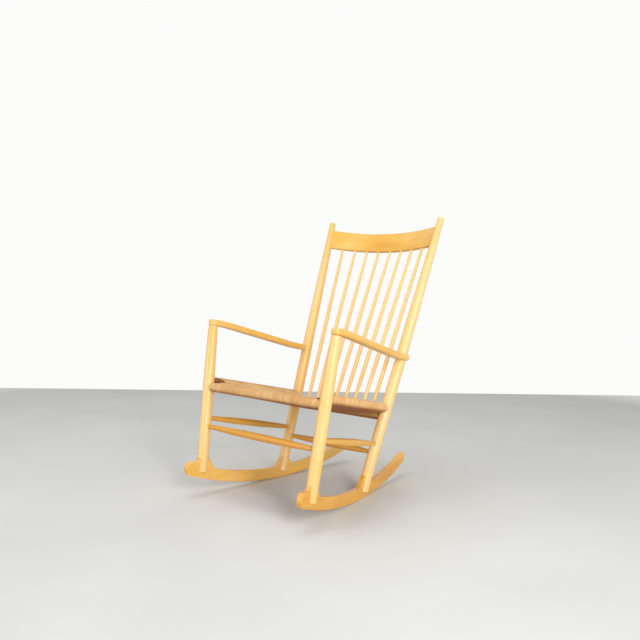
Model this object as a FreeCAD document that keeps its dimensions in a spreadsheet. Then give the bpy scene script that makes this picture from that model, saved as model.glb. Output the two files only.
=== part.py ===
import FreeCAD, Part
import math
import os
import Sketcher
from FreeCAD import Placement, Rotation, Vector

# High-backed rocking chair: turned legs and posts on two curved runners, flat arms, a bowed crest
# over eight spindles, and a seat woven from paper cord round four rails.
# Lengths are millimetres, angles are degrees. +X is the sitter's left, -Y the front, +Z up.
# The chair is laid out upright, with its legs plumb in the side view, and every piece is then leaned
# back alike, to the pose in which the empty chair balances on its runners.

SIZES = {
    # stance: where the turned legs and posts start and end, at half the chair's width
    "lean_angle": 8.85,
    "leg_ahead": 200,
    "leg_foot_spread": 262,
    "leg_head_spread": 296,
    "leg_foot_height": 40,
    "arm_rest_height": 595,
    "post_foot_behind": 197,
    "post_foot_spread": 202.5,
    "post_foot_height": 36,
    "post_head_behind": 461,
    "post_head_spread": 276.5,
    "post_head_height": 1146,
    # runners
    "rocker_radius": 1291,
    "runner_thickness": 20,
    "runner_depth": 44,
    "runner_edge_round": 3,
    "nose_radius": 27,
    "nose_ahead": 252,
    "tail_behind": 546,
    "leg_ear_height": 92,
    "post_ear_height": 92,
    "ear_margin": 2,
    "ear_flare": 28,
    "ear_flare_behind_post": 12,
    "ear_hollow": 48,
    "ear_step_hollow": 8,
    # turned legs
    "leg_foot_diameter": 42,
    "leg_belly_diameter": 43.5,
    "leg_head_diameter": 35,
    "leg_belly_above_foot": 300,
    "leg_tenon_diameter": 22,
    "leg_tenon_length": 15,
    "foot_round": 3,
    # turned posts
    "post_foot_diameter": 42,
    "post_belly_diameter": 43.5,
    "post_head_diameter": 26,
    "post_belly_above_foot": 400,
    "post_head_round": 5,
    # seat rails, which the cord hides
    "seat_rail_diameter": 27,
    "seat_tenon_diameter": 17,
    "front_rail_height": 361,
    "rear_rail_height": 330,
    "side_rail_height_at_leg": 383,
    "side_rail_height_at_post": 356,
    "seat_tenon_depth": 25,
    # stretchers
    "stretcher_belly_diameter": 27,
    "stretcher_end_diameter": 16.5,
    "stretcher_tenon_depth": 22,
    "front_stretcher_height": 212,
    "rear_stretcher_height": 184,
    "side_stretcher_height_at_leg": 243,
    "side_stretcher_height_at_post": 217,
    # crest
    "crest_height": 86,
    "crest_thickness": 18,
    "crest_bow": 60,
    "crest_below_post_head": 37,
    "crest_edge_round": 4,
    "crest_tenon_thickness": 10,
    "crest_tenon_height": 62,
    # spindles
    "spindle_count": 8,
    "spindle_pitch_at_crest": 58,
    "spindle_pitch_at_rail": 45,
    "spindle_foot_diameter": 12.5,
    "spindle_belly_diameter": 17,
    "spindle_head_diameter": 11,
    "spindle_belly_share": 0.32,
    "spindle_foot_depth": 16,
    "spindle_head_depth": 18,
    # arms
    "arm_thickness": 24,
    "arm_front_radius": 18.5,
    "arm_rear_radius": 22.5,
    "arm_rear_outboard": 9,
    "arm_rear_overhang": 2,
    "arm_upper_bend": 800,
    "arm_lower_bend": 1250,
    "arm_slope": 6.4,
    "arm_rear_slope": 2.5,
    "arm_rear_bend_ahead": 118,
    "arm_edge_round": 7,
    "arm_finger_inside": 15,
    "arm_finger_heel": 4,
    "arm_dowel_diameter": 8,
    "arm_dowel_in_arm": 9,
    "arm_dowel_in_post": 22,
    # woven cord seat
    "cord_thickness": 3.2,
    "cord_clearance": 0.3,
    "cord_tuck": 0.3,
    "seat_corner_gap": 57,
    "seat_top_dish": 5,
    "seat_hollow": 26,
    # fits and cutters
    "joint_clearance": 0.1,
    "overrun": 60,
}

doc = FreeCAD.newDocument("rocking_chair")
sheet = doc.addObject("Spreadsheet::Sheet", "sizes")
for row, (alias, number) in enumerate(SIZES.items(), start=1):
    sheet.set(f"A{row}", alias)
    sheet.set(f"B{row}", str(number))
    sheet.setAlias(f"B{row}", alias)
doc.recompute()


class Size:
    """A number together with the spreadsheet formula that it comes from."""

    def __init__(self, value, formula):
        self.value = value
        self.formula = formula

    def __add__(self, other):
        other = as_size(other)
        return Size(self.value + other.value, f"({self.formula} + {other.formula})")

    def __sub__(self, other):
        other = as_size(other)
        return Size(self.value - other.value, f"({self.formula} - {other.formula})")

    def __mul__(self, other):
        other = as_size(other)
        return Size(self.value * other.value, f"({self.formula} * {other.formula})")

    def __truediv__(self, other):
        other = as_size(other)
        return Size(self.value / other.value, f"({self.formula} / {other.formula})")

    def __rsub__(self, other):
        return as_size(other) - self

    def __neg__(self):
        return Size(-self.value, f"(-1 * {self.formula})")

    __radd__ = __add__
    __rmul__ = __mul__


def as_size(number):
    return number if isinstance(number, Size) else Size(number, str(number))


def size(alias):
    return Size(float(sheet.get(alias)), f"sizes.{alias}")


def bind(thing, path, number):
    """Sets one property or constraint from the spreadsheet."""
    thing.setExpression(path, as_size(number).formula)


# Sketches and solids that several pieces use


def origin_plane(body, role):
    return next(plane for plane in body.Origin.OriginFeatures if plane.Role == role)


def sketch_on(body, role, name):
    sketch = body.newObject("Sketcher::SketchObject", name)
    sketch.AttachmentSupport = (origin_plane(body, role), [""])
    sketch.MapMode = "FlatFace"
    return sketch


def arc_between(start, end, radius, turn):
    """The short arc from start to end, turning left (1) or right (-1) as it goes."""
    chord = end - start
    half = chord.Length / 2
    rise = math.sqrt(max(radius * radius - half * half, 0))
    left = Vector(-chord.y, chord.x, 0).normalize()
    centre = (start + end) / 2 + left * rise * turn
    first, last = (start, end) if turn > 0 else (end, start)
    from_angle = math.atan2(first.y - centre.y, first.x - centre.x)
    to_angle = math.atan2(last.y - centre.y, last.x - centre.x)
    return Part.ArcOfCircle(Part.Circle(centre, Vector(0, 0, 1), radius), from_angle, to_angle)


def tie(sketch, name, geometry, end, corner):
    """Holds a point of the sketch at a corner's two sizes."""
    for kind, way, number in zip(("DistanceX", "DistanceY"), ("across", "up"), corner):
        place = Sketcher.Constraint(kind, -1, 1, geometry, end, as_size(number).value)
        limit = sketch.addConstraint(place)
        if isinstance(number, Size):
            sketch.renameConstraint(limit, f"{way}_{name}")
            bind(sketch, f"Constraints.{way}_{name}", number)


def swell(sketch, name, first, last, full):
    """A shallow curve between two corners, upright where the piece is full."""
    crown = (full[0], (as_size(first[1]) + last[1]) / 2)
    poles = [Vector(as_size(x).value, as_size(y).value, 0) for x, y in (first, crown, last)]
    curve = Part.BSplineCurve()
    curve.buildFromPolesMultsKnots(poles, [3, 3], [0, 1], False, 2)
    edge = sketch.addGeometry(curve)
    sketch.exposeInternalGeometry(edge)
    crown_pole, centre = edge + 2, 3
    tie(sketch, name, crown_pole, centre, crown)
    return edge


def outline(sketch, corners, bends=None, belly=None):
    """Draws a closed outline through the corners. bends gives a side's radius and turn as an arc.
    The two sides that meet at the belly corner are swells."""
    bends = bends or {}
    places = [Vector(as_size(across).value, as_size(up).value, 0) for across, up in corners]
    heads = []
    for side, start in enumerate(places):
        following = (side + 1) % len(places)
        end = places[following]
        if belly is not None and belly in (side, following):
            full = corners[belly]
            edge = swell(sketch, f"crown_{side}", corners[side], corners[following], full)
            heads.append((edge, 1, 2))
        elif side in bends:
            radius, turn = bends[side]
            edge = sketch.addGeometry(arc_between(start, end, as_size(radius).value, turn))
            heads.append((edge, 1, 2) if turn > 0 else (edge, 2, 1))
            limit = sketch.addConstraint(Sketcher.Constraint("Radius", edge, as_size(radius).value))
            sketch.renameConstraint(limit, f"bend_{side}")
            bind(sketch, f"Constraints.bend_{side}", radius)
        else:
            edge = sketch.addGeometry(Part.LineSegment(start, end))
            heads.append((edge, 1, 2))
    for side, (edge, head, tail) in enumerate(heads):
        following, next_head, _ = heads[(side + 1) % len(heads)]
        sketch.addConstraint(Sketcher.Constraint("Coincident", edge, tail, following, next_head))
        tie(sketch, f"corner_{side}", edge, head, corners[side])


def padded(name, role, corners, bends, thickness):
    """A board: an outline given the same thickness to both sides of its plane."""
    body = doc.addObject("PartDesign::Body", name)
    sketch = sketch_on(body, role, name + "_outline")
    outline(sketch, corners, bends)
    pad = body.newObject("PartDesign::Pad", name + "_pad")
    pad.Profile = sketch
    pad.SideType = "Symmetric"
    bind(pad, "Length", thickness)
    return body


def turned(name, corners, bends=None, belly=None):
    """A piece turned on a lathe, its axis along Z, from (radius, height) corners."""
    body = doc.addObject("PartDesign::Body", name)
    sketch = sketch_on(body, "XZ_Plane", name + "_outline")
    outline(sketch, corners, bends, belly)
    turning = body.newObject("PartDesign::Revolution", name + "_turning")
    turning.Profile = sketch
    turning.ReferenceAxis = (sketch, ["V_Axis"])
    return body


def along(start, end):
    """Stands a piece's Z axis at start, pointing to end."""
    return Placement(start, Rotation(Vector(0, 0, 1), end - start))


def cylinder(name, radius, start, end):
    rod = doc.addObject("Part::Cylinder", name)
    bind(rod, "Radius", radius)
    rod.Height = (end - start).Length
    rod.Placement = along(start, end)
    return rod


def block(name, low, high, placement=None):
    """A box between two corners, in the frame that placement gives."""
    box = doc.addObject("Part::Box", name)
    span = high - low
    box.Length, box.Width, box.Height = span.x, span.y, span.z
    box.Placement = (placement or Placement()).multiply(Placement(low, Rotation()))
    return box


def together(name, pieces):
    group = doc.addObject("Part::Compound", name)
    group.Links = pieces
    return group


def cut(name, base, cutters):
    """Takes each cutter away from the base, one after another."""
    piece = base
    for step, cutter in enumerate(cutters, start=1):
        rest = doc.addObject("Part::Cut", f"{name}_{step}")
        rest.Base = piece
        rest.Tool = cutter
        piece = rest
    return piece


def mirrored(name, source):
    """The same piece on the chair's other side."""
    twin = doc.addObject("Part::Mirroring", name)
    twin.Source = source
    twin.Base = Vector()
    twin.Normal = Vector(1, 0, 0)
    return twin


def common(name, first, second):
    piece = doc.addObject("Part::Common", name)
    piece.Base = first
    piece.Tool = second
    return piece


def fused(name, pieces):
    piece = doc.addObject("Part::MultiFuse", name)
    piece.Shapes = pieces
    return piece


NODES = {}


def node(name, piece):
    """Keeps a finished piece under the name of its file."""
    piece.Label = name
    NODES[name] = piece


# Axes of the left leg and the left post, upright. What stands on the right mirrors what is here


class Axis:
    """A straight line from a foot to a head."""

    def __init__(self, foot, head):
        self.foot = foot
        self.head = head
        self.length = (head - foot).Length
        self.way = (head - foot).normalize()

    def at(self, height):
        return self.foot + self.way * ((height - self.foot.z) / self.way.z)


clearance = size("joint_clearance")
overrun = size("overrun").value
lean = size("lean_angle").value

leg_y = -size("leg_ahead").value
leg = Axis(
    Vector(size("leg_foot_spread").value, leg_y, size("leg_foot_height").value),
    Vector(size("leg_head_spread").value, leg_y, size("arm_rest_height").value),
)
post = Axis(
    Vector(
        size("post_foot_spread").value,
        size("post_foot_behind").value,
        size("post_foot_height").value,
    ),
    Vector(
        size("post_head_spread").value,
        size("post_head_behind").value,
        size("post_head_height").value,
    ),
)

# The runner's own frame: its Y runs to the rear along the runner, which toes in

toe = math.degrees(
    math.atan2(
        size("leg_foot_spread").value - size("post_foot_spread").value,
        size("leg_ahead").value + size("post_foot_behind").value,
    )
)
toe_share = math.cos(math.radians(toe))
runner_spread = size("leg_foot_spread").value - size("leg_ahead").value * math.tan(math.radians(toe))


runner_frame = Placement(Vector(runner_spread, 0, 0), Rotation(Vector(0, 0, 1), toe))
leg_along = -size("leg_ahead").value / toe_share
post_rake = math.degrees(
    math.atan2(
        (size("post_head_behind").value - size("post_foot_behind").value) / toe_share,
        size("post_head_height").value - size("post_foot_height").value,
    )
)
post_ear_along = post.at(size("post_ear_height").value).y / toe_share


# Runners: boards whose round lower edge rolls on the floor


def runner_outline():
    """The outline in the runner's own frame: distance to the rear, then height."""
    rocker = size("rocker_radius")
    depth = size("runner_depth")
    upper = rocker - depth
    nose = size("nose_radius")
    tail = depth / 2
    hub = Vector(0, rocker.value, 0)
    nose_from_hub = rocker.value - nose.value
    tail_from_hub = rocker.value - tail.value
    nose_ahead = size("nose_ahead").value
    tail_behind = size("tail_behind").value
    nose_centre = hub + Vector(-nose_ahead, -math.sqrt(nose_from_hub**2 - nose_ahead**2), 0)
    tail_centre = hub + Vector(tail_behind, -math.sqrt(tail_from_hub**2 - tail_behind**2), 0)
    nose_foot = hub + (nose_centre - hub) * (rocker.value / nose_from_hub)
    tail_foot = hub + (tail_centre - hub) * (rocker.value / tail_from_hub)
    tail_top = hub + (tail_centre - hub) * (upper.value / tail_from_hub)
    outward = (tail_centre - hub).normalize()
    tail_tip = tail_centre + Vector(-outward.y, outward.x, 0) * tail.value
    half_leg = size("leg_belly_diameter").value / 2 + size("ear_margin").value
    half_post = size("post_belly_diameter").value / 2 + size("ear_margin").value
    rake = math.radians(post_rake)
    ear_way = Vector(math.cos(rake), -math.sin(rake), 0)
    ear_middle = Vector(post_ear_along, size("post_ear_height").value, 0)
    ear_rear = ear_middle + ear_way * half_post
    ear_front = ear_middle - ear_way * half_post
    leg_ear_rear = Vector(leg_along + half_leg, size("leg_ear_height").value, 0)
    leg_ear_front = Vector(leg_along - half_leg, size("leg_ear_height").value, 0)
    nose_top = nose_centre + Vector(0, nose.value, 0)

    def ear_foot(ear_top, flare):
        """Where an ear's flared side meets the runner's upper edge."""
        aside = ear_top.x + flare.value
        return Vector(aside, rocker.value - math.sqrt(upper.value**2 - aside**2), 0)

    places = [
        nose_foot,
        tail_foot,
        tail_tip,
        tail_top,
        ear_foot(ear_rear, size("ear_flare_behind_post")),
        ear_rear,
        ear_front,
        ear_foot(ear_front, -size("ear_flare")),
        ear_foot(leg_ear_rear, size("ear_flare")),
        leg_ear_rear,
        leg_ear_front,
        Vector(leg_ear_front.x, nose_top.y, 0),
        nose_top,
    ]
    bends = {
        0: (rocker, 1),
        1: (tail, 1),
        2: (tail, 1),
        3: (upper, -1),
        7: (upper, -1),
        12: (nose, 1),
    }
    corners = [(place.x, place.y) for place in places]
    return corners, bends, (places[7], places[8]), (places[4], places[11])


def edge_names(shape, wanted):
    return [f"Edge{i}" for i, edge in enumerate(shape.Edges, start=1) if wanted(edge)]


def round_edges(body, name, radius, wanted):
    """Rounds the edges that wanted picks on the body as it stands."""
    doc.recompute()
    base = body.Tip
    fillet = body.newObject("PartDesign::Fillet", name)
    fillet.Base = (base, edge_names(base.Shape, wanted))
    bind(fillet, "Radius", radius)
    doc.recompute()


runner_corners, runner_bends, ear_hollows, ear_steps = runner_outline()
runner = padded(
    "runner_board", "YZ_Plane", runner_corners, runner_bends, size("runner_thickness")
)


def across_at(places):
    """Chooses the edges that cross the board's thickness at these places of its outline."""

    def chosen(edge):
        middle = edge.CenterOfMass
        return edge.Length > size("runner_thickness").value / 2 and any(
            math.hypot(middle.y - place.x, middle.z - place.y) < clearance.value
            for place in places
        )

    return chosen


def on_face(edge):
    places = [vertex.Point for vertex in edge.Vertexes] + [edge.CenterOfMass]
    half = size("runner_thickness").value / 2
    return all(abs(abs(place.x) - half) < clearance.value for place in places)


round_edges(runner, "ear_hollows", size("ear_hollow"), across_at(ear_hollows))
round_edges(runner, "ear_steps", size("ear_step_hollow"), across_at(ear_steps))
round_edges(runner, "runner_round", size("runner_edge_round"), on_face)
runner.Placement = runner_frame
node("left_runner", runner)


# Legs and posts: turned, and slotted at the foot to straddle the runner's ear


def leg_turning(name, spare=0):
    """One leg. A spare radius makes the larger blank that cuts its neighbours."""
    spare = as_size(spare)
    foot = size("leg_foot_diameter") / 2 + spare
    belly = size("leg_belly_diameter") / 2 + spare
    head = size("leg_head_diameter") / 2 + spare
    rise = size("leg_belly_above_foot")
    shoulder = as_size(leg.length)
    tenon = size("leg_tenon_diameter") / 2 + spare
    top = shoulder + size("leg_tenon_length") + spare
    soft = size("foot_round")
    corners = [
        (0, 0),
        (foot - soft, 0),
        (foot, soft),
        (belly, rise),
        (head, shoulder),
        (tenon, shoulder),
        (tenon, top),
        (0, top),
    ]
    return turned(name, corners, {1: (soft, 1)}, belly=3)


def post_turning(name, spare=0):
    """One post. A spare radius makes the larger blank that cuts its neighbours."""
    spare = as_size(spare)
    foot = size("post_foot_diameter") / 2 + spare
    belly = size("post_belly_diameter") / 2 + spare
    head = size("post_head_diameter") / 2 + spare
    rise = size("post_belly_above_foot")
    top = as_size(post.length)
    soft = size("foot_round")
    cap = size("post_head_round")
    corners = [
        (0, 0),
        (foot - soft, 0),
        (foot, soft),
        (belly, rise),
        (head, top - cap),
        (head - cap, top),
        (0, top),
    ]
    return turned(name, corners, {1: (soft, 1), 4: (cap, 1)}, belly=3)


def post_radius(climb):
    """The post's radius this far up its axis, above the belly."""
    belly = size("post_belly_diameter") / 2
    rise = post.length - size("post_head_round") - size("post_belly_above_foot")
    past_belly = (climb - size("post_belly_above_foot")) / rise
    return belly - (belly - size("post_head_diameter") / 2) * past_belly * past_belly


# Straight members between two axes: where each starts and ends, with its tenons


def across(place):
    """The matching point on the chair's right side."""
    return Vector(-place.x, place.y, place.z)


class Member:
    """A round piece between two axes, whose ends go a tenon's depth into what stands there."""

    def __init__(self, name, start, end, depth):
        self.name = name
        self.way = (end - start).normalize()
        inset = size("leg_belly_diameter").value / 2 - size(depth).value
        self.axis_start = start
        self.axis_end = end
        self.start = start + self.way * inset
        self.end = end - self.way * inset
        self.length = (self.end - self.start).Length


def height(alias):
    return size(alias).value


RAILS = {}
STRETCHERS = {}
for end, upright in (("front", leg), ("rear", post)):
    at_rail = upright.at(height(end + "_rail_height"))
    at_stretcher = upright.at(height(end + "_stretcher_height"))
    RAILS[end] = Member(end + "_seat_rail", across(at_rail), at_rail, "seat_tenon_depth")
    STRETCHERS[end] = Member(
        end + "_stretcher", across(at_stretcher), at_stretcher, "stretcher_tenon_depth"
    )
RAILS["side"] = Member(
    "left_seat_rail",
    leg.at(height("side_rail_height_at_leg")),
    post.at(height("side_rail_height_at_post")),
    "seat_tenon_depth",
)
STRETCHERS["side"] = Member(
    "left_stretcher",
    leg.at(height("side_stretcher_height_at_leg")),
    post.at(height("side_stretcher_height_at_post")),
    "stretcher_tenon_depth",
)


def stretcher_turning(member):
    """A stretcher: slim at both ends, which are its own tenons, and fuller in the middle."""
    slim = size("stretcher_end_diameter") / 2
    belly = size("stretcher_belly_diameter") / 2
    length = as_size(member.length)
    tenon = size("stretcher_tenon_depth")
    corners = [
        (0, 0),
        (slim, 0),
        (slim, tenon),
        (belly, length / 2),
        (slim, length - tenon),
        (slim, length),
        (0, length),
    ]
    return turned(member.name, corners, belly=3)


def rail_turning(member):
    """A seat rail: a plain rod with a tenon on each end."""
    tenon = size("seat_tenon_diameter") / 2
    body = size("seat_rail_diameter") / 2
    length = as_size(member.length)
    shoulder = size("seat_tenon_depth") + (body - tenon)
    corners = [
        (0, 0),
        (tenon, 0),
        (tenon, shoulder),
        (body, shoulder + (body - tenon)),
        (body, length - shoulder - (body - tenon)),
        (tenon, length - shoulder),
        (tenon, length),
        (0, length),
    ]
    return turned(member.name, corners)


def mortises(member, diameter):
    """The two holes that a member's ends need, each a little deeper than its tenon."""
    radius = size(diameter) / 2 + clearance
    gap = member.way * clearance.value
    clear_of_wood = member.way * overrun
    return (
        cylinder(
            member.name + "_start_hole", radius, member.start - gap, member.start + clear_of_wood
        ),
        cylinder(member.name + "_end_hole", radius, member.end + gap, member.end - clear_of_wood),
    )


RAIL_HOLES = {place: mortises(rail, "seat_tenon_diameter") for place, rail in RAILS.items()}
STRETCHER_HOLES = {
    place: mortises(member, "stretcher_end_diameter") for place, member in STRETCHERS.items()
}

for member in STRETCHERS.values():
    stretcher = stretcher_turning(member)
    stretcher.Placement = along(member.start, member.end)
    node(member.name, stretcher)


# Crest: a bowed board, its height along the posts as the side view shows them

crest_rake = math.degrees(
    math.atan2(
        size("post_head_behind").value - size("post_foot_behind").value,
        size("post_head_height").value - size("post_foot_height").value,
    )
)
up_back = Vector(0, math.sin(math.radians(crest_rake)), math.cos(math.radians(crest_rake)))
crest_middle_drop = size("crest_below_post_head").value + size("crest_height").value / 2
crest_ends = post.head - post.way * (crest_middle_drop * up_back.z / post.way.z)
crest_frame = Placement(
    Vector(0, crest_ends.y, crest_ends.z), Rotation(Vector(1, 0, 0), -crest_rake)
)
crest_reach = crest_ends.x
crest_radius = (crest_reach**2 + height("crest_bow") ** 2) / (2 * height("crest_bow"))


def crest_board(name, thickness, tall):
    """The bowed board, which ends on the posts' axes."""
    hub = Vector(0, height("crest_bow") - crest_radius, 0)
    end = Vector(crest_reach, 0, 0) - hub
    half = as_size(thickness) / 2
    front = as_size(crest_radius) - half
    rear = as_size(crest_radius) + half
    front_end = hub + end * (front.value / crest_radius)
    rear_end = hub + end * (rear.value / crest_radius)
    corners = [
        (front_end.x, front_end.y),
        (rear_end.x, rear_end.y),
        (-rear_end.x, rear_end.y),
        (-front_end.x, front_end.y),
    ]
    board = padded(name, "XY_Plane", corners, {1: (rear, 1), 3: (front, -1)}, tall)
    return board


def crest_line(aside):
    """A point of the crest's middle line, this far from the chair's middle."""
    hub = height("crest_bow") - crest_radius
    return Vector(aside, hub + math.sqrt(crest_radius**2 - aside**2), 0)


crest_plank = crest_board("crest_plank", size("crest_thickness"), size("crest_height"))


def long_crest_edge(edge):
    return edge.Length > crest_reach


round_edges(crest_plank, "crest_round", size("crest_edge_round"), long_crest_edge)
crest_tongue = crest_board("crest_tongue", size("crest_tenon_thickness"), size("crest_tenon_height"))
crest_mortise = crest_board(
    "crest_mortise",
    size("crest_tenon_thickness") + 2 * clearance,
    size("crest_tenon_height") + 2 * clearance,
)
for board in (crest_plank, crest_tongue, crest_mortise):
    board.Placement = crest_frame


# Spindles: eight rods that fan out from the rear rail to the crest


class Spindle:
    """The middle line of one spindle."""

    def __init__(self, number):
        place = number - (size("spindle_count").value - 1) / 2
        rail = RAILS["rear"]
        low = (rail.axis_start + rail.axis_end) / 2
        low = low + Vector(place * size("spindle_pitch_at_rail").value, 0, 0)
        under_crest = crest_line(place * size("spindle_pitch_at_crest").value)
        under_crest.z = -size("crest_height").value / 2
        high = crest_frame.multVec(under_crest)
        self.way = (high - low).normalize()
        past_axis = size("spindle_foot_depth").value - size("seat_rail_diameter").value / 2
        self.start = low - self.way * past_axis
        self.end = high + self.way * size("spindle_head_depth").value
        self.length = (self.end - self.start).Length
        self.name = f"spindle_{number + 1}"


SPINDLES = [Spindle(number) for number in range(int(size("spindle_count").value))]


def spindle_turning(spindle):
    foot = size("spindle_foot_diameter") / 2
    belly = size("spindle_belly_diameter") / 2
    head = size("spindle_head_diameter") / 2
    length = as_size(spindle.length)
    foot_depth = size("spindle_foot_depth")
    head_depth = size("spindle_head_depth")
    rise = length * size("spindle_belly_share")
    corners = [
        (0, 0),
        (foot, 0),
        (foot, foot_depth),
        (belly, rise),
        (head, length - head_depth),
        (head, length),
        (0, length),
    ]
    return turned(spindle.name, corners, belly=3)


foot_holes = []
head_holes = []
cord_holes = []
for spindle in SPINDLES:
    piece = spindle_turning(spindle)
    piece.Placement = along(spindle.start, spindle.end)
    node(spindle.name, piece)
    gap = spindle.way * clearance.value
    foot_radius = size("spindle_foot_diameter") / 2 + clearance
    head_radius = size("spindle_head_diameter") / 2 + clearance
    out_of_rail = spindle.start + spindle.way * (height("spindle_foot_depth") + overrun)
    into_crest = spindle.end - spindle.way * (height("spindle_head_depth") + overrun)
    foot_holes.append(
        cylinder(spindle.name + "_foot_hole", foot_radius, spindle.start - gap, out_of_rail)
    )
    head_holes.append(
        cylinder(spindle.name + "_head_hole", head_radius, spindle.end + gap, into_crest)
    )
    cord_radius = size("spindle_foot_diameter") / 2 + 2 * size("cord_clearance")
    cord_holes.append(
        cylinder(spindle.name + "_cord_hole", cord_radius, spindle.start, out_of_rail)
    )

for place, rail in RAILS.items():
    blank = rail_turning(rail)
    blank.Placement = along(rail.start, rail.end)
    if place == "rear":
        blank = cut("rear_rail_drilled", blank, [together("spindle_foot_holes", foot_holes)])
    node(rail.name, blank)


# Arms: boards curved in the side view and tapered in plan, rounded all over

post_lean = post.way.y / post.way.z
slope = math.radians(height("arm_slope"))
rear_slope = math.radians(height("arm_rear_slope"))
upper_bend = height("arm_upper_bend")
lower_bend = height("arm_lower_bend")
bend_run = upper_bend * math.sin(slope)
bend_drop = upper_bend * (1 - math.cos(slope))
lower_run = lower_bend * (math.sin(slope) - math.sin(rear_slope))
lower_drop = lower_bend * (math.cos(rear_slope) - math.cos(slope))
past_lower_bend = height("arm_rear_bend_ahead") - lower_run
straight_end_ahead = height("arm_rear_bend_ahead")

# The arm's middle line meets the post's axis here: both are straight but for the bends' own drops

fixed_drop = bend_drop + lower_drop + past_lower_bend * math.tan(rear_slope)
level = height("arm_rest_height") + height("arm_thickness") / 2
straight_from_foot = post.foot.y - straight_end_ahead - leg.head.y - bend_run
arm_height_at_post = (
    level - fixed_drop - math.tan(slope) * (straight_from_foot - post.foot.z * post_lean)
) / (1 + math.tan(slope) * post_lean)
at_arm = post.at(arm_height_at_post)


def arm_side_outline():
    """The side view: distance to the rear, then height. The lower edge repeats the upper one."""
    top = height("arm_rest_height") + height("arm_thickness")
    front = Vector(leg.head.y - overrun, top, 0)
    bend_start = Vector(leg.head.y, top, 0)
    bend_end = bend_start + Vector(bend_run, -bend_drop, 0)
    straight = at_arm.y - straight_end_ahead - bend_end.x
    rear_start = bend_end + Vector(1, -math.tan(slope), 0) * straight
    rear_end = rear_start + Vector(lower_run, -lower_drop, 0)
    past_post = Vector(math.cos(rear_slope), -math.sin(rear_slope), 0)
    tip = rear_end + past_post * (straight_end_ahead + overrun)
    upper_edge = [front, bend_start, bend_end, rear_start, rear_end, tip]
    drop = Vector(0, -height("arm_thickness"), 0)
    lower_edge = [place + drop for place in upper_edge]
    corners = [(place.x, place.y) for place in lower_edge + upper_edge[::-1]]
    bends = {
        1: (size("arm_upper_bend"), -1),
        3: (size("arm_lower_bend"), 1),
        7: (size("arm_lower_bend"), -1),
        9: (size("arm_upper_bend"), 1),
    }
    return corners, bends


def arm_plan_outline():
    """The plan: two round ends, joined by the lines that touch both."""
    front = Vector(leg.head.x, leg.head.y, 0)
    rear = Vector(
        at_arm.x + height("arm_rear_outboard"), at_arm.y + height("arm_rear_overhang"), 0
    )
    front_radius = size("arm_front_radius")
    rear_radius = size("arm_rear_radius")
    way = (rear - front).normalize()
    aside = Vector(-way.y, way.x, 0)
    tilt = (front_radius.value - rear_radius.value) / (rear - front).Length
    aside_share = math.sqrt(1 - tilt * tilt)
    inner = way * tilt + aside * -aside_share
    outer = way * tilt + aside * aside_share
    places = [
        front + inner * front_radius.value,
        rear + inner * rear_radius.value,
        rear + way * rear_radius.value,
        rear + outer * rear_radius.value,
        front + outer * front_radius.value,
        front - way * front_radius.value,
    ]
    corners = [(place.x, place.y) for place in places]
    bends = {
        1: (rear_radius, 1),
        2: (rear_radius, 1),
        4: (front_radius, 1),
        5: (front_radius, 1),
    }
    return corners, bends


side_corners, side_bends = arm_side_outline()
plan_corners, plan_bends = arm_plan_outline()
past_arm = 2 * (size("leg_head_spread") + size("overrun"))
over_arm = 2 * (size("arm_rest_height") + size("overrun"))
arm_profile = padded("arm_profile", "YZ_Plane", side_corners, side_bends, past_arm)
arm_plan = padded("arm_plan", "XY_Plane", plan_corners, plan_bends, over_arm)
arm_board = common("arm_board", arm_plan, arm_profile)
doc.recompute()
arm_rounded = doc.addObject("Part::Fillet", "arm_rounded")
arm_rounded.Base = arm_board


def rim_edge(edge):
    """An edge of the board's upper or lower face, not one that crosses its thickness."""
    return edge.BoundBox.ZLength < edge.Length / 2


round_size = height("arm_edge_round")
arm_rounded.Edges = [
    (number, round_size, round_size)
    for number, edge in enumerate(arm_board.Shape.Edges, start=1)
    if rim_edge(edge)
]

# Joints: the feet straddle the runner, the arm sits on the leg's tenon, and its rear end is
# scribed to the post and passes outside it as a finger, held by a blind dowel

half_slot = height("runner_thickness") / 2 + clearance.value
leg_slot = block(
    "leg_slot",
    Vector(-half_slot, leg_along - overrun, -overrun),
    Vector(half_slot, leg_along + overrun, height("leg_ear_height") + clearance.value),
    runner_frame,
)
post_ear_frame = runner_frame.multiply(
    Placement(
        Vector(0, post_ear_along, height("post_ear_height")),
        Rotation(Vector(1, 0, 0), -post_rake),
    )
)
post_slot = block(
    "post_slot",
    Vector(-half_slot, -overrun, -height("post_ear_height")),
    Vector(half_slot, overrun, clearance.value),
    post_ear_frame,
)


def standing(turning, axis):
    """Stands a turned piece on its axis."""
    turning.Placement = along(axis.foot, axis.head)
    return turning


leg_cutters = [
    leg_slot,
    RAIL_HOLES["front"][1],
    RAIL_HOLES["side"][0],
    STRETCHER_HOLES["front"][1],
    STRETCHER_HOLES["side"][0],
]
leg_blank = standing(leg_turning("leg_blank"), leg)
node("left_front_leg", cut("left_leg_jointed", leg_blank, leg_cutters))

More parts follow.
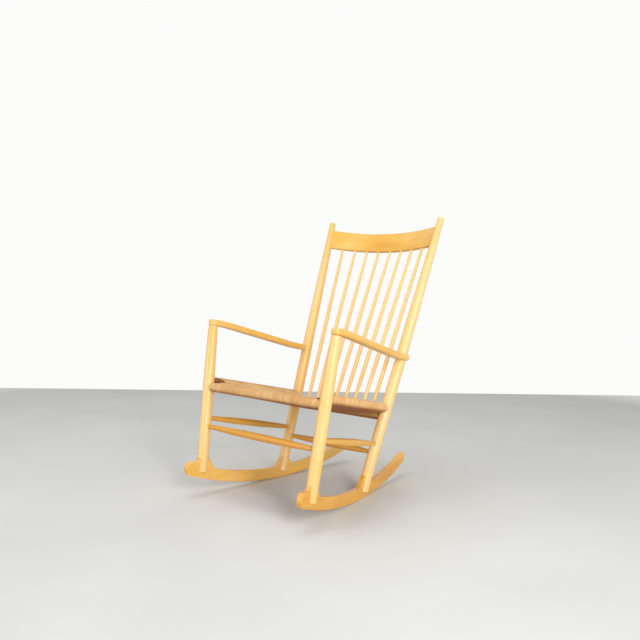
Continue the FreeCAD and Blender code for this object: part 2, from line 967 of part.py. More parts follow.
finger_zone = block(
    "finger_zone",
    Vector(height("arm_finger_inside"), -overrun, -overrun),
    Vector(overrun, overrun, overrun),
    Placement(at_arm, Rotation()),
)
heel_zone = block(
    "heel_zone",
    Vector(-overrun, 0, -overrun),
    Vector(height("arm_finger_heel"), overrun, overrun),
    Placement(at_arm, Rotation()),
)
finger = common("arm_finger", arm_rounded, finger_zone)
dowel_radius = size("arm_dowel_diameter") / 2
dowel_out = at_arm + Vector(height("arm_finger_inside") + height("arm_dowel_in_arm"), 0, 0)
dowel_in = at_arm + Vector(height("arm_finger_inside") - height("arm_dowel_in_post"), 0, 0)
gap = Vector(clearance.value, 0, 0)
dowel = cylinder("left_arm_dowel", dowel_radius, dowel_in, dowel_out)
dowel_hole = cylinder("dowel_hole", dowel_radius + clearance, dowel_in - gap, dowel_out + gap)
node("arm_dowels", together("arm_dowel_pair", [dowel, mirrored("right_arm_dowel", dowel)]))

leg_cutter = standing(leg_turning("leg_cutter", clearance), leg)
leg_cutter.Placement.move(leg.way * clearance.value)
post_cutter = standing(post_turning("post_cutter", clearance), post)
right_post_cutter = mirrored("right_post_cutter", post_cutter)
scribe_foot = at_arm - post.way * overrun
scribe_head = at_arm + post.way * overrun
scribe = doc.addObject("Part::Cone", "post_scribe")
bind(scribe, "Radius1", post_radius((scribe_foot - post.foot).Length) + clearance)
bind(scribe, "Radius2", post_radius((scribe_head - post.foot).Length) + clearance)
bind(scribe, "Height", 2 * size("overrun"))
scribe.Placement = along(scribe_foot, scribe_head)
post_core = cut("post_core", scribe, [finger_zone])
arm = cut("left_arm_jointed", arm_rounded, [leg_cutter, post_core, heel_zone, dowel_hole])
node("left_arm", arm)

post_cutters = [
    post_slot,
    RAIL_HOLES["rear"][1],
    RAIL_HOLES["side"][1],
    STRETCHER_HOLES["rear"][1],
    STRETCHER_HOLES["side"][1],
    crest_mortise,
    finger,
    dowel_hole,
]
post_blank = standing(post_turning("post_blank"), post)
node("left_back_post", cut("left_post_jointed", post_blank, post_cutters))

crest_body = cut("crest_shoulders", crest_plank, [post_cutter, right_post_cutter])
crest_whole = fused("crest_with_tongue", [crest_body, crest_tongue])
crest_holes = together("spindle_head_holes", head_holes)
node("crest_rail", cut("crest_drilled", crest_whole, [crest_holes]))


# Woven seat: a roll of cord round each rail, and an upper and a lower layer stretched between them

cord = height("cord_thickness")
roll_radius = size("seat_rail_diameter") / 2 + size("cord_clearance") + size("cord_thickness")


def seat_layer(name, lift):
    """One layer: four fields that run from a rail to the seams. lift is 1 above, -1 below."""
    reach = Vector(0, 0, lift * (roll_radius.value - height("cord_tuck")))
    front, rear = RAILS["front"].axis_end, RAILS["rear"].axis_end
    by_leg, by_post = RAILS["side"].axis_start, RAILS["side"].axis_end
    seam_y = (front.y + front.x + rear.y - rear.x) / 2
    mean_height = (front.z + rear.z + by_leg.z + by_post.z) / 4
    middle_height = mean_height + roll_radius.value - height("seat_top_dish")
    if lift < 0:
        middle_height -= height("seat_hollow")
    middle = Vector(0, seam_y, middle_height)
    drop = Vector(0, 0, -lift * cord)
    faces = []

    def field(outer_spot, halfway, seam_spot):
        """Half a field's two faces, with the walls along its rail and its corner gap."""
        edge = Part.makeLine(outer_spot, halfway)
        gap_edge = Part.makeLine(outer_spot, seam_spot)
        face = Part.makeRuledSurface(edge, Part.makeLine(seam_spot, middle))
        faces.extend((face, face.translated(drop)))
        faces.append(Part.makeRuledSurface(edge, edge.translated(drop)))
        faces.append(Part.makeRuledSurface(gap_edge, gap_edge.translated(drop)))

    half_side = (by_leg + by_post) / 2 + reach
    for cross, beside in ((front, by_leg), (rear, by_post)):
        corner = (cross + beside) / 2 + reach
        seam = corner + (middle - corner).normalize() * height("seat_corner_gap")
        half_cross = Vector(0, cross.y, cross.z) + reach
        for flip in (Vector, across):
            field(flip(cross + reach), half_cross, flip(seam))
            field(flip(beside + reach), flip(half_side), flip(seam))
    solid = Part.makeSolid(Part.Shell(faces))
    layer = doc.addObject("Part::Feature", name)
    layer.Shape = solid if solid.Volume > 0 else solid.reversed()
    return layer


rolls = []
bores = []
bore_radius = size("seat_rail_diameter") / 2 + size("cord_clearance")
for rail in RAILS.values():
    rolls.append(cylinder(rail.name + "_roll", roll_radius, rail.axis_start, rail.axis_end))
    bores.append(cylinder(rail.name + "_bore", bore_radius, rail.axis_start, rail.axis_end))
rolls.append(mirrored("right_seat_rail_roll", rolls[-1]))
bores.append(mirrored("right_seat_rail_bore", bores[-1]))
leg_room = standing(leg_turning("leg_room", size("cord_clearance")), leg)
post_room = standing(post_turning("post_room", size("cord_clearance")), post)
rooms = [leg_room, post_room, mirrored("right_leg_room", leg_room)]
rooms.append(mirrored("right_post_room", post_room))
layers = [seat_layer("seat_upper_layer", 1), seat_layer("seat_lower_layer", -1)]
seat_block = fused("seat_block", rolls + layers)
seat_cutters = bores + rooms + [together("spindle_cord_holes", cord_holes)]
node("woven_seat", cut("seat_cleared", seat_block, seat_cutters))

doc.recompute()

# Every feature is sound before it is placed or written

for thing in doc.Objects:
    if "Invalid" in thing.State or "Error" in thing.State:
        raise RuntimeError(f"{thing.Name} failed: {thing.State}")
for name, piece in NODES.items():
    if piece.Shape.isNull() or not piece.Shape.isValid() or not piece.Shape.Solids:
        raise RuntimeError(f"{name} has no sound solid")

# The lean: every piece turns back about the chair's middle, then stands on the floor with its
# outer box centred over the origin

lean_turn = Placement(Vector(), Rotation(Vector(1, 0, 0), -lean))
placed = {name: piece.Placement.copy() for name, piece in NODES.items()}
for name, piece in list(NODES.items()):
    if name.startswith("left_"):
        twin = name.replace("left_", "right_")
        node(twin, mirrored(twin, piece))


def stand(shift):
    for name, place in placed.items():
        NODES[name].Placement = Placement(shift, Rotation()).multiply(lean_turn).multiply(place)
    doc.recompute()


def outer_box():
    box = FreeCAD.BoundBox()
    for piece in NODES.values():
        box.add(piece.Shape.optimalBoundingBox(True, False))
    return box


stand(Vector())
box = outer_box()
stand(Vector(0, -(box.YMin + box.YMax) / 2, -box.ZMin))

os.makedirs("parts", exist_ok=True)
for name, piece in NODES.items():
    piece.Shape.exportStep(f"parts/{name}.step")
    shape = piece.Shape
    print(f"{name}: {len(shape.Solids)} solid, {shape.Volume / 1000:.1f} cm3")
box = outer_box()
print(f"size {box.XLength:.1f} x {box.YLength:.1f} x {box.ZLength:.1f} mm")
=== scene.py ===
import math
import random

import bpy
from mathutils import Matrix, Vector


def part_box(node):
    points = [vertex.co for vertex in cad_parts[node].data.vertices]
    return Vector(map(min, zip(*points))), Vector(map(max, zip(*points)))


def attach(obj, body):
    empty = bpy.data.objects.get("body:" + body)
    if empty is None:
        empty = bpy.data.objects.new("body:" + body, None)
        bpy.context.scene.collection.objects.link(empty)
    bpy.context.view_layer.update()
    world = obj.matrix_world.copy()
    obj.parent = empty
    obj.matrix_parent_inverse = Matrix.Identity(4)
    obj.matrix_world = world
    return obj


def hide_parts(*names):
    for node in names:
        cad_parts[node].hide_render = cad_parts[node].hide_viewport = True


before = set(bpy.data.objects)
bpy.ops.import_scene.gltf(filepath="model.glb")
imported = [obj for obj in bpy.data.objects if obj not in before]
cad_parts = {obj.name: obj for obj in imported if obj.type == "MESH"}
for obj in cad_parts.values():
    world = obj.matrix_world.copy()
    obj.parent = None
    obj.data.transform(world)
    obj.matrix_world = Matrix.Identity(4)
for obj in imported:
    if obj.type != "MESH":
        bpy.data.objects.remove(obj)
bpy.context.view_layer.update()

scene = bpy.context.scene
scene.view_settings.view_transform = "Standard"


# Studio: a plain pale floor that ends behind the chair, white air beyond it and four soft lamps.
# The camera stands at the left of the chair's front, 0.82 m up, as when the chair was photographed.

PHOTO_PIXELS = 640
FOCAL_PIXELS = 696.31
CENTRE_PIXEL = (276.71, 305.61)
SENSOR_WIDTH = 36.0
CAMERA_PLACE = (1.6686, -2.1775, 0.8211)
CAMERA_AZIMUTH = math.radians(41.304)
CAMERA_PITCH = math.radians(2.252)
CAMERA_ROLL = math.radians(0.695)
FLOOR_GREY = (0.685, 0.69, 0.67)
FLOOR_STAINS = (0.955, 1.035)
FLOOR_REACH = 40.0
FLOOR_ENDS = 2.3
FLOOR_FADES = (2.9, 4.6)
FLOOR_HAZE = (0.75, 0.75, 0.75, 1)
NO_LIGHT = (0, 0, 0, 1)
AIR_WHITE = (0.97, 0.97, 0.965, 1)
AIR_LIGHT = 0.38


def aim_camera():
    """Stands the camera where its azimuth, pitch, roll and shifted lens match the photograph's."""
    forward = Vector(
        (
            -math.sin(CAMERA_AZIMUTH) * math.cos(CAMERA_PITCH),
            math.cos(CAMERA_AZIMUTH) * math.cos(CAMERA_PITCH),
            -math.sin(CAMERA_PITCH),
        )
    )
    level = Vector((math.cos(CAMERA_AZIMUTH), math.sin(CAMERA_AZIMUTH), 0))
    plumb = level.cross(forward)
    right = level * math.cos(CAMERA_ROLL) + plumb * math.sin(CAMERA_ROLL)
    up = plumb * math.cos(CAMERA_ROLL) - level * math.sin(CAMERA_ROLL)
    lens = bpy.data.cameras.new("studio_camera")
    lens.sensor_width = SENSOR_WIDTH
    lens.lens = FOCAL_PIXELS * SENSOR_WIDTH / PHOTO_PIXELS
    lens.shift_x = (PHOTO_PIXELS / 2 - CENTRE_PIXEL[0]) / PHOTO_PIXELS
    lens.shift_y = (CENTRE_PIXEL[1] - PHOTO_PIXELS / 2) / PHOTO_PIXELS
    camera = bpy.data.objects.new("studio_camera", lens)
    turn = Matrix((right, up, -forward)).transposed().to_4x4()
    camera.matrix_world = Matrix.Translation(CAMERA_PLACE) @ turn
    scene.collection.objects.link(camera)
    scene.camera = camera


class Shade:
    """A number, colour or vector on its way through a material's nodes."""

    def __init__(self, tree, socket=None):
        self.tree = tree
        self.socket = socket

    def node(self, kind, settings=None, sockets=None, output=0):
        """A new node with its settings made, its sockets set or linked, seen at one output."""
        made = self.tree.nodes.new(kind)
        for name, setting in (settings or {}).items():
            setattr(made, name, setting)
        fill_sockets(made, sockets or {})
        return Shade(self.tree, made.outputs[output])

    def maths(self, operation, first, second=0.0):
        return self.node("ShaderNodeMath", {"operation": operation}, {0: first, 1: second})

    def __add__(self, other):
        return self.maths("ADD", self, other)

    def __sub__(self, other):
        return self.maths("SUBTRACT", self, other)

    def __rsub__(self, other):
        return self.maths("SUBTRACT", other, self)

    def __mul__(self, other):
        return self.maths("MULTIPLY", self, other)

    __radd__ = __add__
    __rmul__ = __mul__

    def between(self, low, high):
        """How far the number is from low to high, held to 0 and 1."""
        ends = {"Value": self, "From Min": low, "From Max": high}
        return self.node("ShaderNodeMapRange", {}, ends)

    def mixed(self, low, high):
        """The colour between low and high that this number stands for."""
        parts = {0: self, 6: low, 7: high}
        return self.node("ShaderNodeMix", {"data_type": "RGBA"}, parts, output=2)


def fill_sockets(made, values):
    """Links each shade to its socket of a node, and sets each plain value on its socket."""
    for name, value in values.items():
        if isinstance(value, Shade):
            value.tree.links.new(value.socket, made.inputs[name])
        else:
            made.inputs[name].default_value = value


def new_material(name):
    """A material, the start of its shades, and its surface node."""
    material = bpy.data.materials.new(name)
    material.use_nodes = True
    return material, Shade(material.node_tree), material.node_tree.nodes["Principled BSDF"]


def speckle(place, scale, detail, roughness=0.5):
    """Noise at a place, its cells 1 / scale of a metre wide."""
    values = {"Vector": place, "Scale": scale, "Detail": detail, "Roughness": roughness}
    return place.node("ShaderNodeTexNoise", {}, values)


def seen_directly(start):
    """1 for rays that look straight, by mirror or through glass at a thing, 0 for its light."""
    seen = start.node("ShaderNodeLightPath", output="Is Camera Ray")
    for ray in ("Is Glossy Ray", "Is Transmission Ray"):
        seen = start.maths("MAXIMUM", seen, start.node("ShaderNodeLightPath", output=ray))
    return seen


def floor_paint():
    """Worn pale paint, faintly stained, that fades to white where the floor is far away."""
    material, start, surface = new_material("floor_paint")
    place = start.node("ShaderNodeNewGeometry")
    darker, paler = ((*(level * stain for level in FLOOR_GREY), 1) for stain in FLOOR_STAINS)
    worn = speckle(place, 1.7, 5.0).between(0.3, 0.7).mixed(darker, paler)
    away = start.node("ShaderNodeVectorMath", {"operation": "LENGTH"}, {0: place}, "Value")
    haze = away.between(*FLOOR_FADES) * seen_directly(start)
    fill_sockets(
        surface,
        {
            "Base Color": worn,
            "Emission Color": haze.mixed(NO_LIGHT, FLOOR_HAZE),
            "Emission Strength": 1.0,
            "Roughness": 0.85,
            "Specular IOR Level": 0.2,
        },
    )
    return material


def lay_floor():
    reach = FLOOR_REACH
    corners = ((-reach, -reach), (reach, -reach), (reach, FLOOR_ENDS), (-reach, FLOOR_ENDS))
    turn = Matrix.Rotation(CAMERA_AZIMUTH, 3, "Z")
    mesh = bpy.data.meshes.new("studio_floor")
    mesh.from_pydata([turn @ Vector((*corner, 0)) for corner in corners], [], [(0, 1, 2, 3)])
    mesh.materials.append(floor_paint())
    floor = bpy.data.objects.new("studio_floor", mesh)
    scene.collection.objects.link(floor)


def fill_air():
    """White where it is looked at, and a dimmer light from all round."""
    world = bpy.data.worlds.new("studio_air")
    world.use_nodes = True
    strength = seen_directly(Shade(world.node_tree)) * (1.0 - AIR_LIGHT) + AIR_LIGHT
    air = world.node_tree.nodes["Background"]
    fill_sockets(air, {"Color": AIR_WHITE, "Strength": strength})
    scene.world = world


def soft_lamp(name, place, aim, size, watts):
    lamp = bpy.data.lights.new(name, "AREA")
    lamp.shape = "RECTANGLE"
    lamp.size, lamp.size_y = size
    lamp.energy = watts
    holder = bpy.data.objects.new(name, lamp)
    holder.location = place
    holder.rotation_euler = (Vector(aim) - Vector(place)).to_track_quat("-Z", "Y").to_euler()
    scene.collection.objects.link(holder)


aim_camera()
lay_floor()
fill_air()
soft_lamp("overhead_window", (-0.6, -0.4, 4.4), aim=(0, 0, 0.4), size=(2.6, 2.6), watts=66)
soft_lamp("tall_window", (3.5, -2.2, 1.75), aim=(0, 0, 0.6), size=(1.0, 2.8), watts=136)
soft_lamp("front_fill", (-1.6, -4.2, 1.6), aim=(0, 0, 0.5), size=(2.6, 2.2), watts=58)
soft_lamp("side_fill", (4.2, 0.9, 0.9), aim=(0, 0, 0.3), size=(2.4, 1.4), watts=24)


# Runners: two planks 20 mm thick, sawn to a curve, with an ear under each foot. Like all of the
# frame they are pale straight-grained hardwood under a thin oil, aged golden. Each piece is cut
# from its own stick, so the grain runs along it, here from nose to tail, and no two pieces match.

PALE_WOOD = (0.84, 0.55, 0.225, 1)
GOLDEN_WOOD = (0.765, 0.43, 0.068, 1)
RIPE_WOOD = (0.62, 0.275, 0.021, 1)
PORE_BROWN = (0.45, 0.18, 0.02, 1)
RUBBED_WOOD = (0.90, 0.62, 0.25, 1)
RING_SCALE = 105.0
EDGE_REACH = 0.004
OIL_COAT = 0.5
OIL_ROUGHNESS = 0.27
LEAN = math.radians(8.85)


def stretched(stick, along, scale, detail, roughness=0.5):
    """Noise drawn out along the stick: its cells are 1 / along times longer than wide."""
    drawn = stick.node("ShaderNodeMapping", {}, {"Vector": stick, "Scale": (1.0, 1.0, along)})
    return speckle(drawn, scale, detail, roughness)


def laid_in_stick(start, way, seed):
    """The place in a piece's own stick, whose grain runs along Z there and along way in it."""
    chance = random.Random(seed)
    leaned = Matrix.Rotation(-LEAN, 3, "X") @ Vector(way).normalized()
    turn = leaned.rotation_difference(Vector((0, 0, 1)))
    values = {
        "Vector": start.node("ShaderNodeTexCoord", output="Object"),
        "Rotation": turn.to_euler(),
        "Location": [chance.uniform(0.3, 0.9) * chance.choice((-1, 1)) for _ in range(3)],
    }
    return start.node("ShaderNodeMapping", {}, values)


def growth_rings(stick):
    """Rings round the stick's core, wavering and nearly straight along it."""
    drawn = stick.node("ShaderNodeMapping", {}, {"Vector": stick, "Scale": (1.0, 1.0, 0.02)})
    settings = {"wave_type": "RINGS", "rings_direction": "Z", "wave_profile": "SAW"}
    values = {
        "Vector": drawn,
        "Scale": RING_SCALE,
        "Distortion": 7.0,
        "Detail": 2.0,
        "Detail Scale": 0.35,
    }
    return stick.node("ShaderNodeTexWave", settings, values, "Fac")


def worn_edge(start):
    """How near a point is to a sharp edge, from the turn of a rounded normal off the true one."""
    rounded = start.node("ShaderNodeBevel", {"samples": 4}, {"Radius": EDGE_REACH})
    sharp = start.node("ShaderNodeNewGeometry", output="Normal")
    ends = {0: rounded, 1: sharp}
    alike = start.node("ShaderNodeVectorMath", {"operation": "DOT_PRODUCT"}, ends, "Value")
    return (1.0 - alike).between(0.02, 0.22)


def oiled_wood(name, way, seed, ripeness, wear):
    """One stick's wood, its grain along way, rubbed pale along its edges by the share wear."""
    material, start, surface = new_material(name)
    stick = laid_in_stick(start, way, seed)
    cloud = stretched(stick, 0.25, 9.0, 3.0)
    drift = stretched(stick, 0.06, 16.0, 2.0)
    rings = growth_rings(stick)
    fibre = stretched(stick, 0.025, 560.0, 4.0, 0.62)
    pores = stretched(stick, 0.05, 1300.0, 1.0).between(0.64, 0.72)
    flecks = stretched(stick, 0.22, 520.0, 0.0).between(0.66, 0.7)
    tone = (cloud - 0.5) * 1.3 + (drift - 0.5) * 1.3 + (rings - 0.5) * 0.22 + (fibre - 0.5) * 0.9
    tone = tone + (0.42 + ripeness)
    body = tone.between(0.15, 0.65).mixed(PALE_WOOD, GOLDEN_WOOD)
    aged = tone.between(0.6, 1.15).mixed(body, RIPE_WOOD)
    figured = (pores * 0.3 + flecks * 0.16).mixed(aged, PORE_BROWN)
    rubbed = worn_edge(start) * stretched(stick, 0.4, 60.0, 3.0).between(0.35, 0.62)
    height = {"Height": fibre * 0.5 - pores * 0.7, "Strength": 0.3, "Distance": 0.0002}
    fill_sockets(
        surface,
        {
            "Base Color": (rubbed * wear).mixed(figured, RUBBED_WOOD),
            "Roughness": 0.34 + fibre * 0.12 + cloud * 0.1 + pores * 0.1,
            "Normal": start.node("ShaderNodeBump", {}, height),
            "Coat Weight": OIL_COAT,
            "Coat Roughness": OIL_ROUGHNESS,
            "Specular IOR Level": 0.4,
        },
    )
    return material


def dress(piece, way, seed, ripeness, wear=0.5):
    """Gives a solid piece its own stick of wood, with way as in the upright chair."""
    mesh = bpy.data.objects[piece].data
    mesh.materials.clear()
    mesh.materials.append(oiled_wood(piece + "_wood", way, seed, ripeness, wear))


def dress_pair(piece, way, seed, ripeness, wear=0.5):
    """Dresses the left piece and its mirrored right one from two sticks."""
    across, back, up = way
    dress("left_" + piece, (across, back, up), seed, ripeness, wear)
    dress("right_" + piece, (-across, back, up), seed + 1, ripeness, wear)


dress("left_runner", (-0.15, 1.0, 0.0), 11, ripeness=0.52, wear=0.6)
dress("right_runner", (0.15, 1.0, 0.0), 12, ripeness=0.12, wear=0.6)


# Front legs and back posts: turned from the palest sticks with a slight belly. Their feet are
# slotted and glued over the runners' ears. The legs end in tenons up into the arms, and the posts
# lean back and outward past the crest.

dress_pair("front_leg", (0.061, 0.0, 1.0), 21, ripeness=-0.2)
dress_pair("back_post", (0.067, 0.238, 1.0), 31, ripeness=-0.2)


# Stretchers: four slim turned rods of a riper wood, swelled at the middle and tenoned at both ends
# into the legs and posts.

dress("front_stretcher", (1.0, 0.0, 0.0), 61, ripeness=0.62)
dress("rear_stretcher", (1.0, 0.0, 0.0), 62, ripeness=0.62)
dress_pair("stretcher", (-0.13, 1.0, -0.06), 63, ripeness=0.62)


# Seat rails: four plain round rods under the cord, tenoned into the legs and posts, the side ones
# above the front and rear ones.

dress("front_seat_rail", (1.0, 0.0, 0.0), 71, ripeness=0.2)
dress("rear_seat_rail", (1.0, 0.0, 0.0), 72, ripeness=0.2)
dress_pair("seat_rail", (-0.125, 1.0, -0.057), 73, ripeness=0.2)


# Spindles and crest: eight slim turned spindles fan out from the rear seat rail, and their heads
# sit in holes below the crest, a board sawn to a bow and tenoned between the posts.

SPINDLES = 8
SPINDLE_FAN = 0.02

for number in range(1, SPINDLES + 1):
    fan = ((SPINDLES + 1) / 2 - number) * SPINDLE_FAN
    dress(f"spindle_{number}", (fan, 0.3, 1.0), 80 + number, ripeness=-0.3)
dress("crest_rail", (1.0, 0.0, 0.0), 51, ripeness=0.3, wear=0.6)


# Arms: two flat shaped boards, rubbed pale along the edges where hands rest. Each sits on its leg's
# tenon, and its scribed rear end is held to the post by a blind dowel.

dress_pair("arm", (-0.1, 1.0, -0.09), 41, ripeness=0.12, wear=0.6)
dress("arm_dowels", (1.0, 0.0, 0.0), 75, ripeness=0.0)


# Woven seat: one long paper cord wound round the four rails in the envelope pattern. Each turn
# runs square to its rail from the diagonal seam, over the rail and back beneath, so two layers lie
# one above the other with a hollow between them. Sizes are the upright chair's, in metres.

FRONT_RAIL = (0.2817, -0.200, 0.361)
REAR_RAIL = (0.2221, 0.2669, 0.330)
SIDE_RAIL_AT_LEG = (0.2830, -0.200, 0.383)
SIDE_RAIL_AT_POST = (0.2239, 0.2731, 0.356)
RAIL_RADIUS = 0.0135
CORD_RADIUS = 0.0017
CORD_PITCH = 0.00335
CORD_CLEARANCE = 0.0003
CORD_WOBBLE = (-0.00018, 0.00018)
CORD_LIFT = (-0.0001, 0.00025)
CORD_SLACK = (-0.0004, 0.0003)
WRAP_RADIUS = RAIL_RADIUS + CORD_CLEARANCE + CORD_RADIUS
WRAP_STEPS = 9
CORNER_WRAP_STARTS = -2.0
OPEN_CORNER = 0.030
CLEAR_OF_LEG = 0.0165
CORNER_GAP = 0.057
SEAT_DISH = 0.019
SEAT_HOLLOW = 0.034
SEAM_DIP = 0.0022
DIVE_LENGTH = 0.004
REAR_SAG = 0.007
CORD_SIDES = 6
TURN_SHARES = CORD_SIDES + 1
TWISTS_PER_METRE = 190.0
PLIES = 3.0
CORD_TAN = (0.74, 0.39, 0.132, 1)
CORD_PALE = (0.95, 0.66, 0.34, 1)
# Painted shade for the grooves between the cord's plies.
CORD_GROOVE_SHADE = (0.30, 0.13, 0.04, 1)
# Painted shade for the cord's faces that turn downward.
CORD_UNDERSIDE_SHADE = (0.34, 0.095, 0.012, 1)
# Painted shade for the corner turns' wraps inside the rails.
CORD_INNER_SHADE = (0.20, 0.065, 0.014, 1)
UP = Vector((0, 0, 1))


def lean_from_upright():
    """The turn and shift from the upright chair to the chair as it stands, by its front rail."""
    low, high = (Vector(corner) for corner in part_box("front_seat_rail"))
    turn = Matrix.Rotation(-LEAN, 4, "X")
    rail = turn @ Vector((0, FRONT_RAIL[1], FRONT_RAIL[2]))
    return Matrix.Translation((low + high) / 2 - rail) @ turn


def rail_ends(side):
    """Ends of the front and rear rails, and of the side rail at leg and post, left 1, right -1."""
    ends = (FRONT_RAIL, REAR_RAIL, SIDE_RAIL_AT_LEG, SIDE_RAIL_AT_POST)
    return [Vector(end) * Vector((side, 1, 1)) for end in ends]


def seat_middle(layer):
    """Where the four seams meet, on the upper layer, 1, or the lower one, -1."""
    front, rear, leg, post = rail_ends(1)
    height = (front.z + rear.z + leg.z + post.z) / 4 + WRAP_RADIUS - SEAT_DISH
    if layer < 0:
        height -= SEAT_HOLLOW
    return Vector((0, (front.y + front.x + rear.y - rear.x) / 2, height))


def field_seams(corners, layer):
    """A field's seams: from each of its rail's ends to the corner gap, and on to the middle."""
    middle = seat_middle(layer)
    reach = UP * (layer * WRAP_RADIUS)
    seams = []
    for own_end, other_end in corners:
        corner = (own_end + other_end) / 2 + reach
        gap = corner + (middle - corner).normalized() * CORNER_GAP
        seams += [(own_end + reach, gap), (gap, middle)]
    return seams


def crossing(start, way, first, second):
    """Where, in plan, a line from start crosses the seam from first to second, or None."""
    seam = second - first
    spread = way.x * seam.y - way.y * seam.x
    if abs(spread) < 1e-9:
        return None
    offset = first - start
    share = (offset.x * way.y - offset.y * way.x) / spread
    if not -1e-6 <= share <= 1 + 1e-6:
        return None
    return first + seam * share


def nearest_seam(start, way, seams):
    """Where a cord that sets out from start first meets a seam, or None."""
    hits = [crossing(start, way, first, second) for first, second in seams]
    hits = [hit for hit in hits if hit is not None]
    ahead = [hit for hit in hits if (hit - start).to_2d().dot(way.to_2d()) > 0]
    return min(ahead, key=lambda hit: (hit - start).to_2d().length, default=None)


def turn_of_cord(chance, axis, inward, corners, sag, at_corner):
    """One turn as its points and its length inside the rail, or None where no seam is met."""
    wobble = chance.uniform(*CORD_WOBBLE)
    radius = WRAP_RADIUS + chance.uniform(*CORD_LIFT)
    top = axis + UP * radius
    low = axis - UP * (radius + sag)
    upper_end = nearest_seam(top, inward, field_seams(corners, 1))
    lower_end = nearest_seam(low, inward, field_seams(corners, -1))
    if upper_end is None or lower_end is None:
        return None
    points = []
    starts = CORNER_WRAP_STARTS if at_corner else 0.0
    if not at_corner:
        points.append(upper_end - UP * (SEAM_DIP + CORD_RADIUS))
        slack = chance.uniform(*CORD_SLACK)
        for share in (1 - dive_share(top, upper_end), 0.66, 0.33):
            slump = UP * (slack * math.sin(math.pi * share))
            points.append(top.lerp(upper_end, share) + slump)
    for step in range(WRAP_STEPS + 1):
        angle = starts + (math.pi - starts) * step / WRAP_STEPS
        rise = math.cos(angle) * (radius - sag * min(0.0, math.cos(angle)))
        points.append(axis + UP * rise - inward * (radius * math.sin(angle)))
    for share in (0.33, 0.66, 1 - dive_share(low, lower_end)):
        points.append(low.lerp(lower_end, share))
    points.append(lower_end + UP * (SEAM_DIP + CORD_RADIUS))
    slide = inward.cross(UP) * wobble
    return [point + slide for point in points], -starts * radius


def dive_share(start, end):
    """The last share of a run, in which the cord dives into the seam."""
    run = (end - start).length
    return min(DIVE_LENGTH, run * 0.4) / max(run, 1e-6)


def wind_rail(chance, ends, inward, corners, open_ends, sag=0.0):
    """All turns of one rail, laid side by side from its first end to its last."""
    first, last = ends
    length = abs((last - first).dot(inward.cross(UP)))
    count = int((length - 2 * CLEAR_OF_LEG) / CORD_PITCH)
    turns = []
    for number in range(count):
        share = 0.5 + (number - (count - 1) / 2) * CORD_PITCH / length
        to_ends = [share * length, (1 - share) * length][:open_ends]
        at_corner = any(far - CLEAR_OF_LEG < OPEN_CORNER for far in to_ends)
        axis = first.lerp(last, share)
        turns.append(turn_of_cord(chance, axis, inward, corners, sag, at_corner))
    return [turn for turn in turns if turn]


def wind_seat():
    """Every turn of the cord: the front and rear fields, then the two side ones."""
    chance = random.Random(7)
    sides = {side: rail_ends(side) for side in (1, -1)}
    (front, rear, leg, post), (far_front, far_rear, far_leg, far_post) = sides[1], sides[-1]
    inward = Vector((0, 1, 0))
    corners = ((front, leg), (far_front, far_leg))
    turns = wind_rail(chance, (far_front, front), inward, corners, open_ends=2)
    corners = ((rear, post), (far_rear, far_post))
    turns += wind_rail(chance, (far_rear, rear), -inward, corners, open_ends=0, sag=REAR_SAG)
    for side, (front, rear, leg, post) in sides.items():
        corners = ((leg, front), (post, rear))
        turns += wind_rail(chance, (leg, post), Vector((-side, 0, 0)), corners, open_ends=1)
    return turns


def ring_of_cord(place, ahead, side):
    """The points round a cord at a place on its way ahead, starting at one side of it."""
    other = ahead.cross(side)
    angles = [2 * math.pi * step / CORD_SIDES for step in range(CORD_SIDES)]
    return [
        place + (side * math.cos(angle) + other * math.sin(angle)) * CORD_RADIUS for angle in angles
    ]


def cord_mesh(name, turns):
    """Every turn as a closed round cord, with a map of how far along and round each point lies.

    Along, the map starts below zero where a turn begins inside its rail. Upward, it counts turns.
    """
    points, faces, places = [], [], []
    for number, (path, inside) in enumerate(turns):
        first = len(points)
        reach = [-inside]
        side = None
        for index, place in enumerate(path):
            before, after = path[max(index - 1, 0)], path[min(index + 1, len(path) - 1)]
            ahead = (after - before).normalized()
            if side is None:
                side = ahead.orthogonal()
            side = (side - ahead * side.dot(ahead)).normalized()
            if index:
                reach.append(reach[-1] + (place - before).length)
            points += ring_of_cord(place, ahead, side)
        rounds = [number + step / TURN_SHARES for step in range(TURN_SHARES)]
        starts = range(first, len(points), CORD_SIDES)
        rings = [range(start, start + CORD_SIDES) for start in starts]
        for index in range(len(path) - 1):
            low, high = rings[index : index + 2]
            here, there = reach[index : index + 2]
            for step in range(CORD_SIDES):
                after = (step + 1) % CORD_SIDES
                faces.append((low[step], low[after], high[after], high[step]))
                one, two = rounds[step : step + 2]
                places.append(((here, one), (here, two), (there, two), (there, one)))
        for ring, along in ((rings[0][::-1], reach[0]), (rings[-1], reach[-1])):
            faces.append(tuple(ring))
            places.append([(along, number + step / TURN_SHARES) for step in range(CORD_SIDES)])
    mesh = bpy.data.meshes.new(name)
    mesh.from_pydata(points, [], faces)
    mesh.transform(lean_from_upright())
    lay = mesh.uv_layers.new(name="lay_of_cord")
    corner_places = (place for face in places for place in face)
    for corner, place in zip(lay.data, corner_places):
        corner.uv = place
    for polygon in mesh.polygons:
        polygon.use_smooth = True
    return mesh


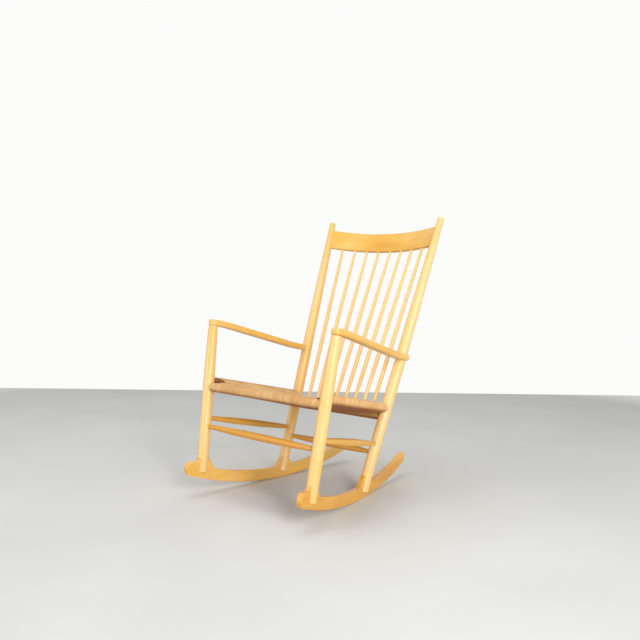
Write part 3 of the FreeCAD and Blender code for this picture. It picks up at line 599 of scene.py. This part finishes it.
def paper_cord():
    """Twisted kraft paper in three tan plies, with shade painted in their grooves, underneath and
    inside the corners.
    """
    material, start, surface = new_material("paper_cord")
    lay = {0: start.node("ShaderNodeUVMap", {"uv_map": "lay_of_cord"})}
    along = start.node("ShaderNodeSeparateXYZ", {}, lay, "X")
    turn_and_round = start.node("ShaderNodeSeparateXYZ", {}, lay, "Y")
    turn = start.maths("FLOOR", turn_and_round)
    around = (turn_and_round - turn) * (TURN_SHARES / CORD_SIDES)
    own = start.node("ShaderNodeTexWhiteNoise", {"noise_dimensions": "1D"}, {"W": turn})
    wave = along * TWISTS_PER_METRE + around * PLIES + own
    ply = start.maths("SINE", wave * (2 * math.pi))
    place = start.node("ShaderNodeTexCoord", output="Object")
    patches = speckle(place, 14.0, 5.0)
    strands = speckle(place, 320.0, 3.0)
    fuzz = speckle(place, 1800.0, 2.0)
    tone = patches * 0.7 + strands * 0.9 + fuzz * 0.3 + own * 0.34 - 0.62
    body = tone.between(0.25, 0.75).mixed(CORD_TAN, CORD_PALE)
    # Painted shade: faces turned downward, on the lower layer and under the rolls, are darkened.
    facing = start.node("ShaderNodeNewGeometry", output="Normal")
    underside_shade = start.node("ShaderNodeSeparateXYZ", {}, {0: facing}, "Z").between(-0.15, -0.75)
    shaded = (underside_shade * 0.85).mixed(body, CORD_UNDERSIDE_SHADE)
    # Painted shade: the grooves between the plies are darkened toward a deep brown.
    groove_shade = (0.5 - ply * 0.5).between(0.45, 1.0)
    plied = (groove_shade * 0.7).mixed(shaded, CORD_GROOVE_SHADE)
    # Painted shade: where a corner turn runs inside its rail, and faintly at each turn's start by
    # the seam, the cord is darkened.
    inner_shade = along.between(0.003, -0.014)
    height = {"Height": ply * 0.6 + fuzz * 0.4, "Strength": 0.8, "Distance": 0.0007}
    fill_sockets(
        surface,
        {
            "Base Color": (inner_shade * 0.85).mixed(plied, CORD_INNER_SHADE),
            "Roughness": 0.62 + fuzz * 0.2,
            "Normal": start.node("ShaderNodeBump", {}, height),
            "Sheen Weight": 0.06,
            "Specular IOR Level": 0.25,
        },
    )
    return material


seat_mesh = cord_mesh("cord_turns", wind_seat())
seat_mesh.materials.append(paper_cord())
seat = bpy.data.objects.new("cord_turns", seat_mesh)
scene.collection.objects.link(seat)
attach(seat, "root")
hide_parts("woven_seat")
